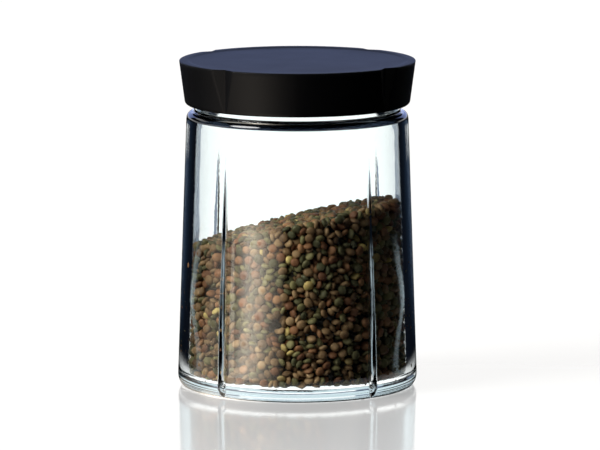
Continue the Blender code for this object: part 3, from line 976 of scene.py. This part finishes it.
def seen_in_gloss(tree, compass, height):
    """The world in gloss: a low white band with two gaps, and white patches over it."""
    band = between(tree, height, *BAND_HEIGHTS)
    for centre in BAND_GAPS:
        band = times(tree, band, eased(tree, off_compass(tree, compass, centre), *BAND_GAP_EDGE))
    for centre, low, high in PATCHES:
        patch = maths(tree, "LESS_THAN", off_compass(tree, compass, centre), PATCH_WIDTH)
        band = maths(tree, "MAXIMUM", band, times(tree, patch, between(tree, height, low, high)))
    return blended(tree, band, MIRRORED_DARK, MIRRORED_WHITE)


def surroundings(screens):
    """The world: white to the camera, with other pictures through glass and in gloss, and little light."""
    world = bpy.data.worlds.new("studio")
    bpy.context.scene.world = world
    world.use_nodes = True
    tree = world.node_tree
    tree.nodes.clear()
    compass, _, height = compass_and_distance(tree, node(tree, "TexCoord").outputs["Generated"])
    path = node(tree, "LightPath").outputs
    colour = blended(tree, path["Is Glossy Ray"], UNLIT, seen_in_gloss(tree, compass, height))
    colour = blended(tree, path["Is Transmission Ray"], colour, seen_behind(tree, screens, compass, height))
    colour = blended(tree, path["Is Camera Ray"], colour, WHITE)
    strength = maths(tree, "MULTIPLY_ADD", path["Is Transmission Ray"], SCREEN_GLOW - 1.0, 1.0)
    background = node(tree, "Background", {"Color": colour, "Strength": strength}).outputs[0]
    node(tree, "OutputWorld", {"Surface": background})


def stage_piece(name, points, faces, material):
    """A flat piece of the studio, which isn't part of the object."""
    mesh = bpy.data.meshes.new(name)
    mesh.from_pydata(points, [], faces)
    mesh.materials.append(material)
    piece = bpy.data.objects.new(name, mesh)
    bpy.context.scene.collection.objects.link(piece)
    return piece


def blue_card():
    """A dim blue card behind the lid, which only gloss can see."""
    made, tree = bare_material("blue_card")
    height = node(tree, "SeparateXYZ", {0: node(tree, "NewGeometry").outputs["Position"]}).outputs[2]
    shade = ramp(tree, eased(tree, height, *CARD_FADE), CARD_STOPS)
    node(tree, "OutputMaterial", {"Surface": glowing(tree, shade, CARD_GLOW)})
    low, high = CARD_HEIGHTS
    corners = [(-CARD_SIDE, low), (CARD_SIDE, low), (CARD_SIDE, high), (-CARD_SIDE, high)]
    card = stage_piece("blue_card", [(x, CARD_Y, z) for x, z in corners], [(0, 1, 2, 3)], made)
    card.visible_camera = False
    card.visible_diffuse = False
    card.visible_transmission = False
    card.visible_shadow = False


def pale_floor(material):
    """A round floor, just under the jar's foot."""
    columns = even_columns(FLOOR_CORNERS)
    rim = [(FLOOR_RADIUS * math.cos(a), FLOOR_RADIUS * math.sin(a), 0.0) for a in columns]
    faces = [(0, 1 + i, 1 + (i + 1) % len(columns)) for i in range(len(columns))]
    floor = stage_piece("floor", [(0.0, 0.0, 0.0)] + rim, faces, material)
    floor.location.z = -FLOOR_UNDER_FOOT


def lamp(name, compass, elevation, strength, spread, colour):
    """A soft lamp far away: compass is the side it shines from, in degrees from the camera's side."""
    data = bpy.data.lights.new(name, "SUN")
    data.energy = strength
    data.angle = math.radians(spread)
    data.color = colour
    made = bpy.data.objects.new(name, data)
    made.rotation_euler = (math.radians(90 - elevation), 0.0, math.radians(compass))
    bpy.context.scene.collection.objects.link(made)


def light_pool():
    """A narrow upright beam from the front left, which lights the lentils behind the bright reflection."""
    data = bpy.data.lights.new("pool", "SPOT")
    data.energy = 115.0
    data.spot_size = math.radians(1.9)
    data.spot_blend = 1.0
    data.shadow_soft_size = 0.02
    made = bpy.data.objects.new("pool", data)
    made.location = (-0.670, -1.170, 0.800)
    made.rotation_euler = (math.radians(60), 0.0, math.radians(-30))
    made.scale = (1.0, 3.2, 1.0)
    made.visible_glossy = False
    made.visible_transmission = False
    bpy.context.scene.collection.objects.link(made)


def camera():
    """The photo's view: a long lens that looks a little down."""
    look_down = 8.47
    data = bpy.data.cameras.new("camera")
    data.sensor_width = 36.0
    data.lens = 354.0
    data.shift_x = 0.0043
    made = bpy.data.objects.new("camera", data)
    made.location = (0.0, -2.750, 0.485)
    made.rotation_euler = (math.radians(90 - look_down), 0.0, 0.0)
    bpy.context.scene.collection.objects.link(made)
    bpy.context.scene.camera = made


def dress_cad_node(name, material):
    """Gives one of the solids that the scene keeps its material."""
    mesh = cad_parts[name].data
    mesh.materials.clear()
    mesh.materials.append(material)


def cover_look(skin):
    black, worn = (0.0018, 0.0019, 0.0024), (0.0030, 0.0031, 0.0040)
    rough = (0.40, 0.52)
    return plastic_look("cover_black", skin, black, worn, grain=2600.0, roughness=rough, bumps=0.00005)


def plug_look(skin):
    black, worn = (0.014, 0.014, 0.015), (0.022, 0.022, 0.024)
    rough = (0.42, 0.6)
    return plastic_look("plug_black", skin, black, worn, grain=1900.0, roughness=rough, bumps=0.00006)


def ring_look(skin):
    pale, worn = (0.50, 0.515, 0.515), (0.60, 0.61, 0.60)
    rough = (0.38, 0.52)
    return plastic_look("ring_silicone", skin, pale, worn, grain=1500.0, roughness=rough, bumps=0.00004)


skin = moulded_skin_group()
coat = seed_coat_group()
screens = window_light_group("screens", BOTH_WALLS_STOPS)
edge_screens = window_light_group("edge_screens", ONE_WALL_STOPS)
bpy.context.scene.view_settings.view_transform = "Standard"
camera()
surroundings(screens)
pale_floor(floor_look(screens, edge_screens))
blue_card()
lamp("key", compass=-64.0, elevation=35.0, strength=3.3, spread=30.0, colour=(1.0, 0.985, 0.96))
light_pool()
lamp("back", compass=165.0, elevation=48.0, strength=0.8, spread=40.0, colour=(0.86, 0.92, 1.0))

glass_jar(glass_look(skin))
lentil_heap(coat)
lid_cover(cover_look(skin))
dress_cad_node("lid_plug", plug_look(skin))
dress_cad_node("seal_ring", ring_look(skin))
